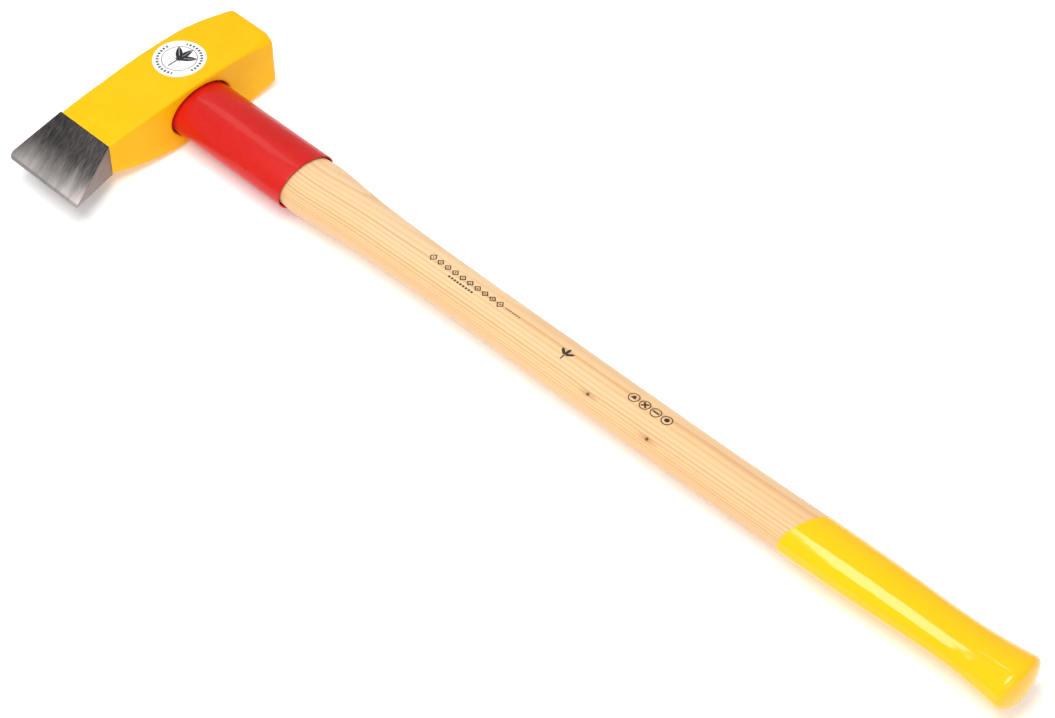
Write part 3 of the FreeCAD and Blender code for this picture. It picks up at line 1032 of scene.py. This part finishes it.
@dataclass
class Head:
    """Forged head: the painted body, the ground bit, and the printed label."""

    groups: Groups
    grind_length: float = 49.0 * MM
    overlap: float = 4.0 * MM
    voxel: float = 0.75 * MM
    ridge_passes: int = 22
    swell: float = 0.10 * MM
    dent_depth: float = 0.28 * MM
    dent_reach: float = 60.0 * MM
    dent_least: float = 0.28
    swell_grain: float = 45.0
    dent_grain: float = 210.0
    dent_shift: tuple[float, float, float] = (3.1, 7.7, 0.4)
    bit_edge: float = 0.22 * MM
    label_radius: float = 20.0 * MM

    def build(self) -> None:
        """Makes the body and the bit, and dresses the label."""
        edge_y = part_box("head")[0].y
        paint_end = edge_y + self.grind_length
        paint = ForgingPaint(paint_end).make(self.groups)
        finished(self._body(paint_end), "head_body", paint, "head_steel", "head", smooth_angle=60.0)
        steel = GroundSteel(paint_end, edge_y).make(self.groups)
        finished(self._bit(paint_end), "head_bit", steel, "head_steel", "head", smooth_angle=25.0)
        low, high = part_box("label_disc")
        centre = (low + high) / 2
        label = LabelFinish(centre=(centre.x, centre.y), radius=self.label_radius)
        dress("label_disc", label.make(self.groups))

    def _body(self, paint_end: float) -> bmesh.types.BMesh:
        """Painted body with its ridges rounded and its faces unevenly forged.

        Args:
            paint_end: y of the line where the paint ends.

        Returns:
            The body's mesh.
        """
        mesh = merged_copy("head")
        cut_off(mesh, Vector((0.0, paint_end - self.overlap, 0.0)), TO_POLL)
        mesh = remeshed(mesh, self.voxel)
        for _ in range(self.ridge_passes):
            bmesh.ops.smooth_vert(mesh, verts=mesh.verts, factor=0.5, use_axis_x=True, use_axis_y=True,
                                  use_axis_z=True)
        mesh.normal_update()
        for vert in mesh.verts:
            vert.co += vert.normal * self._forging(vert.co, paint_end)
        cut_off(mesh, Vector((0.0, paint_end, 0.0)), TO_POLL)
        return mesh

    def _forging(self, place: Vector, paint_end: float) -> float:
        """Height of the forging's unevenness.

        Args:
            place: point on the body.
            paint_end: y of the line where the paint ends.

        Returns:
            Height above the even surface; below zero in a dent.
        """
        broad = self.swell * (noise.noise(place * self.swell_grain) - 0.8)
        near = max(0.12, 1.0 - (place.y - paint_end) / self.dent_reach)
        speckle = noise.noise(place * self.dent_grain + Vector(self.dent_shift))
        pit = max(0.0, speckle - self.dent_least)
        return broad - self.dent_depth * near * min(1.0, 4.0 * pit)

    def _bit(self, paint_end: float) -> bmesh.types.BMesh:
        """Ground bit with crisp but not razor-sharp edges.

        Args:
            paint_end: y of the line where the paint ends.

        Returns:
            The bit's mesh.
        """
        mesh = merged_copy("head")
        cut_off(mesh, Vector((0.0, paint_end, 0.0)), -TO_POLL)
        bmesh.ops.dissolve_limit(mesh, angle_limit=math.radians(1.0), verts=mesh.verts, edges=mesh.edges)
        soften(mesh, self.bit_edge, least_angle=22.0)
        return mesh


@dataclass
class Retainer:
    """Sleeve through the eye, and the plate, washer and screw over it."""

    groups: Groups
    sleeve_edge: float = 0.35 * MM

    def build(self) -> None:
        """Softens the sleeve's lips, paints it and the plate, and plates the fasteners."""
        red = GlossPaint(
            "red_gloss", rgb(0.62, 0.008, 0.004), rgb(0.55, 0.005, 0.003),
            rough=0.30, coat=0.22, relief_depth=0.10 * MM,
        ).make(self.groups)
        sleeve = merged_copy("protective_sleeve")
        soften(sleeve, self.sleeve_edge, least_angle=50.0)
        finished(sleeve, "sleeve_tube", red, "red_steel", "protective_sleeve")
        dress("locking_plate", red)
        steel = ZincPlate().make(self.groups)
        dress("lock_washer", steel)
        dress("locking_screw", steel)


class Ornament(Enum):
    """Plain figures printed inside the round marks on the handle."""

    WEDGE = "wedge"
    CROSS = "cross"
    BAR = "bar"
    DISC = "disc"


@dataclass(frozen=True)
class MarkRow:
    """Evenly spaced places along the handle."""

    start: float
    pitch: float
    count: int
    y: float

    def places(self) -> list[Vector]:
        """The centre of each mark, flat at z = 0."""
        return [Vector((self.start + number * self.pitch, self.y, 0.0)) for number in range(self.count)]


@dataclass
class Marks:
    """Printed marks: lozenges, dashes, dots, a sprig and round marks, as a thin skin of ink."""

    lozenges: MarkRow = MarkRow(241.0 * MM, 7.2 * MM, 10, 1.8 * MM)
    dashes: MarkRow = MarkRow(262.0 * MM, 2.7 * MM, 9, -3.6 * MM)
    dots: MarkRow = MarkRow(312.0 * MM, 2.0 * MM, 7, 1.8 * MM)
    rounds: MarkRow = MarkRow(429.6 * MM, 9.8 * MM, len(Ornament), 3.0 * MM)
    ink_thickness: float = 0.05 * MM
    ink_sink: float = 0.02 * MM
    drop_height: float = 100.0 * MM
    lozenge_half_x: float = 3.1 * MM
    lozenge_half_y: float = 3.0 * MM
    end_lozenge_half_y: float = 3.6 * MM
    lozenge_line: float = 1.25 * MM
    lozenge_dot: float = 0.65 * MM
    dash_radius: float = 1.15 * MM
    dot_radius: float = 0.62 * MM
    sprig: tuple[float, float] = (369.9 * MM, -2.1 * MM)
    leaf_turns: tuple[float, ...] = (-48.0, 0.0, 48.0)
    leaf_reach: float = 4.0 * MM
    leaf_half_length: float = 3.3 * MM
    leaf_slimness: float = 0.36
    stem_drop: float = 1.6 * MM
    stem_radius: float = 3.0 * MM
    stem_slimness: float = 0.24
    round_radius: float = 4.3 * MM
    round_line: float = 0.8 * MM
    wedge_radius: float = 2.6 * MM
    disc_radius: float = 1.9 * MM
    bar_half_length: float = 2.9 * MM
    bar_half_width: float = 0.7 * MM

    def build(self) -> bmesh.types.BMesh:
        """Lays every mark out flat and drapes them all on the wood.

        Returns:
            The marks' mesh.
        """
        mesh = bmesh.new()
        places = self.lozenges.places()
        for place in places:
            at_end = place in (places[0], places[-1])
            self._lozenge(mesh, place, self.end_lozenge_half_y if at_end else self.lozenge_half_y)
        for place in self.dashes.places():
            self._filled(mesh, 4, self.dash_radius, Matrix.Translation(place) @ turned(45.0))
        for place in self.dots.places():
            self._filled(mesh, 10, self.dot_radius, Matrix.Translation(place))
        self._sprig(mesh)
        for place, ornament in zip(self.rounds.places(), Ornament):
            shape = Matrix.Translation(place)
            self._ring(mesh, 40, self.round_radius, self.round_line, shape)
            self._ornament(mesh, shape, ornament)
        self._drape(mesh)
        return mesh

    @staticmethod
    def _filled(mesh: bmesh.types.BMesh, sides: int, radius: float, shape: Matrix, cuts: int = 3) -> None:
        """Flat filled polygon, cut finely enough to bend with the wood.

        Args:
            mesh: the marks so far.
            sides: number of sides.
            radius: centre to corner.
            shape: its place, turn and stretch.
            cuts: extra points on each side.
        """
        made = bmesh.ops.create_circle(mesh, cap_ends=True, cap_tris=True, segments=sides, radius=radius,
                                       matrix=shape)
        bmesh.ops.subdivide_edges(mesh, edges=edges_at(made["verts"]), cuts=cuts, use_grid_fill=True)

    @staticmethod
    def _ring(mesh: bmesh.types.BMesh, sides: int, radius: float, line: float, shape: Matrix,
              cuts: int = 0) -> None:
        """Flat ring with a line of one width.

        Args:
            mesh: the marks so far.
            sides: number of segments.
            radius: outer radius.
            line: the line's width.
            shape: its place and stretch.
            cuts: extra points on each side, so that long sides bend with the wood.
        """
        edges = []
        for rim in (radius, radius - line):
            made = bmesh.ops.create_circle(mesh, segments=sides, radius=rim, matrix=shape)
            edges += edges_at(made["verts"])
        bmesh.ops.bridge_loops(mesh, edges=edges)
        if cuts:
            bmesh.ops.subdivide_edges(mesh, edges=edges, cuts=cuts, use_grid_fill=True)

    def _lozenge(self, mesh: bmesh.types.BMesh, place: Vector, half_y: float) -> None:
        """Open lozenge with a dot in it.

        Args:
            mesh: the marks so far.
            place: its centre.
            half_y: half its height across the handle.
        """
        centre = Matrix.Translation(place)
        self._ring(mesh, 4, half_y, self.lozenge_line, centre @ slimmed(self.lozenge_half_x / half_y), cuts=5)
        self._filled(mesh, 8, self.lozenge_dot, centre)

    def _sprig(self, mesh: bmesh.types.BMesh) -> None:
        """Small sprig of three leaves on a stem.

        Args:
            mesh: the marks so far.
        """
        root = Matrix.Translation(Vector((*self.sprig, 0.0)))
        out = Matrix.Translation(Vector((0.0, self.leaf_reach, 0.0)))
        for turn in self.leaf_turns:
            leaf = root @ turned(turn) @ out @ slimmed(self.leaf_slimness)
            self._filled(mesh, 16, self.leaf_half_length, leaf, cuts=2)
        down = Matrix.Translation(Vector((0.0, -self.stem_drop, 0.0)))
        self._filled(mesh, 4, self.stem_radius, root @ down @ slimmed(self.stem_slimness) @ turned(45.0))

    def _ornament(self, mesh: bmesh.types.BMesh, centre: Matrix, ornament: Ornament) -> None:
        """Figure inside a round mark.

        Args:
            mesh: the marks so far.
            centre: shift to the mark's centre.
            ornament: which figure.
        """
        if ornament is Ornament.WEDGE:
            self._filled(mesh, 3, self.wedge_radius, centre)
        elif ornament is Ornament.CROSS:
            for turn in (45.0, 135.0):
                self._bar(mesh, centre @ turned(turn))
        elif ornament is Ornament.BAR:
            self._bar(mesh, centre)
        else:
            self._filled(mesh, 20, self.disc_radius, centre)

    def _bar(self, mesh: bmesh.types.BMesh, shape: Matrix) -> None:
        """Slim bar through a round mark's centre.

        Args:
            mesh: the marks so far.
            shape: its place and turn.
        """
        slim = Matrix.Diagonal(Vector((self.bar_half_length, self.bar_half_width, 1.0, 1.0)))
        bmesh.ops.create_grid(mesh, x_segments=8, y_segments=2, size=1.0, matrix=shape @ slim)

    def _drape(self, mesh: bmesh.types.BMesh) -> None:
        """Lays the flat marks on the wood and gives them the ink's thickness.

        Args:
            mesh: the marks, flat at z = 0.
        """
        bmesh.ops.recalc_face_normals(mesh, faces=mesh.faces)
        for face in mesh.faces:
            if face.normal.z < 0:
                face.normal_flip()
        lower = list(mesh.verts)
        made = bmesh.ops.extrude_face_region(mesh, geom=mesh.faces[:], use_keep_orig=True)
        upper = [item for item in made["geom"] if isinstance(item, bmesh.types.BMVert)]
        wood = surface_of("handle")
        for points, rise in ((lower, -self.ink_sink), (upper, self.ink_thickness - self.ink_sink)):
            for vert in points:
                start = Vector((vert.co.x, vert.co.y, self.drop_height))
                vert.co.z = wood.ray_cast(start, Vector((0.0, 0.0, -1.0)))[0].z + rise


@dataclass
class Handle:
    """Ash handle with its wedges, dipped grip and printed marks."""

    groups: Groups
    knots: tuple[tuple[float, float], ...] = ((403.5 * MM, -14.1 * MM), (458.0 * MM, -15.2 * MM))
    dip_run: float = 7.0 * MM
    dip_slant: float = 0.36

    def build(self) -> None:
        """Grains the wood, dips the grip and prints the marks."""
        dress("handle", WoodFinish("ash_wood", knots=self.knots).make(self.groups))
        wedge = WoodFinish("wedge_wood", pale=rgb(0.55, 0.36, 0.19), warm=rgb(0.45, 0.27, 0.13),
                           dark=rgb(0.25, 0.12, 0.05)).make(self.groups)
        dress("wood_wedges", wedge)
        dip = GlossPaint(
            "yellow_dip", rgb(0.95, 0.555, 0.0), rgb(0.94, 0.51, 0.0),
            rough=0.10, coat=0.3, relief_depth=0.25 * MM, wear=0.1, runs=16.0,
        ).make(self.groups)
        finished(self._dip(), "grip_dip", dip, "yellow_dip", "grip_coating", smooth_angle=40.0)
        ink = PrintFinish().make(self.groups)
        finished(Marks().build(), "printed_marks", ink, "label", smooth_angle=40.0)

    def _dip(self) -> bmesh.types.BMesh:
        """Coat of the grip, with the slanting edge that the dipping left.

        Returns:
            The coat's mesh.
        """
        mesh = merged_copy("grip_coating")
        low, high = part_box("grip_coating")
        start = Vector((low.x + self.dip_run, (low.y + high.y) / 2, 0.0))
        cut_off(mesh, start, Vector((1.0, -self.dip_slant, 0.0)).normalized())
        return mesh


# ---------------------------------------------------------------- stage


@dataclass(frozen=True)
class Lamp:
    """Rectangular soft light; it points down unless it is aimed at the object."""

    name: str
    place: tuple[float, float, float]
    size: tuple[float, float]
    power: float
    aimed: bool = True


@dataclass
class Stage:
    """Pale floor, soft lights, and the camera."""

    lamps: tuple[Lamp, ...] = (
        Lamp("key", (0.35, -0.65, 2.1), (1.3, 1.3), 38.0),
        Lamp("fill", (1.8, -0.8, 1.1), (1.2, 1.2), 5.0),
        Lamp("sheen", (-1.15, 0.55, 2.0), (0.5, 0.9), 2.5),
        Lamp("strip", (-0.39, 0.376, 1.9), (0.17, 0.06), 0.28, aimed=False),
    )
    lamp_aim_x: float = 0.25
    surround: float = 0.50
    floor_centre_x: float = 0.35
    floor_half_size: float = 6.0
    floor_gap: float = 0.5 * MM
    floor_glow: float = 0.22
    azimuth: float = 44.3
    elevation: float = 47.1
    distance: float = 2.0334
    aim_x: float = 0.3535
    side_shift: float = -0.0142
    rise: float = -0.0031
    lens: float = 102.37

    def build(self) -> None:
        """Makes the floor, the lights and the camera."""
        self._floor()
        self._lights()
        self._camera()
        bpy.context.scene.view_settings.view_transform = "Standard"

    def _floor(self) -> None:
        """Wide pale floor under the object's lowest point."""
        centre = Vector((self.floor_centre_x, 0.0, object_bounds()[0].z - self.floor_gap))
        mesh = bmesh.new()
        bmesh.ops.create_grid(mesh, x_segments=2, y_segments=2, size=self.floor_half_size)
        bmesh.ops.translate(mesh, verts=mesh.verts, vec=centre)
        material = bpy.data.materials.new("floor_white")
        material.use_nodes = True
        shader = material.node_tree.nodes["Principled BSDF"]
        shader.inputs["Base Color"].default_value = rgb(0.93, 0.93, 0.93)
        shader.inputs["Roughness"].default_value = 0.9
        shader.inputs["Emission Color"].default_value = rgb(1.0, 1.0, 1.0)
        shader.inputs["Emission Strength"].default_value = self.floor_glow
        to_object(mesh, "floor", material)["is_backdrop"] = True

    def _lights(self) -> None:
        """Large soft key from above, a fill, two small lights for highlights, and an even surround."""
        aim = Vector((self.lamp_aim_x, 0.0, 0.0))
        for lamp in self.lamps:
            data = bpy.data.lights.new(lamp.name, "AREA")
            data.shape = "RECTANGLE"
            data.size, data.size_y = lamp.size
            data.energy = lamp.power
            holder = bpy.data.objects.new(lamp.name, data)
            holder.location = lamp.place
            holder.rotation_mode = "QUATERNION"
            if lamp.aimed:
                holder.rotation_quaternion = (aim - holder.location).to_track_quat("-Z", "Y")
            bpy.context.scene.collection.objects.link(holder)
        world = bpy.data.worlds.new("studio")
        world.use_nodes = True
        back = world.node_tree.nodes["Background"]
        back.inputs["Color"].default_value = rgb(1.0, 1.0, 1.0)
        back.inputs["Strength"].default_value = self.surround
        bpy.context.scene.world = world

    def _camera(self) -> None:
        """Long lens looking down at the cheek from beyond the grip."""
        around = math.radians(self.azimuth)
        over = math.radians(self.elevation)
        level = math.cos(over)
        back = Vector((math.sin(around) * level, -math.cos(around) * level, math.sin(over)))
        right = Vector((math.cos(around), math.sin(around), 0.0))
        up = back.cross(right)
        data = bpy.data.cameras.new("camera")
        data.lens = self.lens
        data.sensor_width = 36.0
        data.clip_end = 50.0
        camera = bpy.data.objects.new("camera", data)
        aim = Vector((self.aim_x, 0.0, 0.0))
        camera.location = aim + back * self.distance + right * self.side_shift + up * self.rise
        camera.rotation_mode = "QUATERNION"
        camera.rotation_quaternion = Matrix((right, up, back)).transposed().to_quaternion()
        bpy.context.scene.collection.objects.link(camera)
        bpy.context.scene.camera = camera


def main() -> None:
    """Builds and dresses every sub-assembly, then the stage."""
    logging.basicConfig(level=logging.INFO)
    groups = Groups()
    for assembly in (Head(groups), Retainer(groups), Handle(groups)):
        assembly.build()
    Stage().build()
    bpy.context.view_layer.update()


if __name__ == "__main__":
    main()
